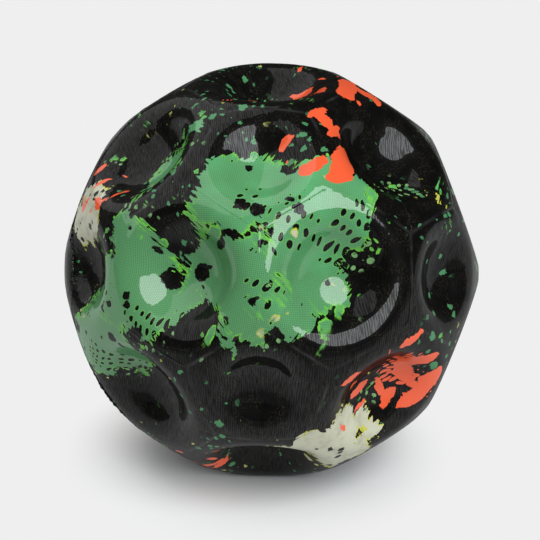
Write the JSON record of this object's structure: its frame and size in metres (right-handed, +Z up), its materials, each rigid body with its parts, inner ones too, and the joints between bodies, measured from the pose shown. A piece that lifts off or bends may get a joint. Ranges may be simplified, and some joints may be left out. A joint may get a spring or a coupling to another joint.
{
  "type": "bouncy ball",
  "caption": "Hand-sized high-bounce foam ball dimpled all over with round craters, under a glossy splatter-printed film whose halves meet at a parting seam.",
  "frame": {"origin": "centre of the ball", "axes": "+Z straight up while the ball lies on the rim of one wide crater, so another wide crater faces up; -Y towards the front; +X to the right"},
  "size_m": [0.065, 0.0648, 0.0614],
  "materials": {
    "foam": "matt, fine closed cells",
    "front_film": "high gloss over a splatter print",
    "rear_film": "high gloss over a splatter print"
  },
  "bodies": {
    "root": {"foam_core": "foam", "front_skin": "front_film", "rear_skin": "rear_film"}
  },
  "joints": []
}
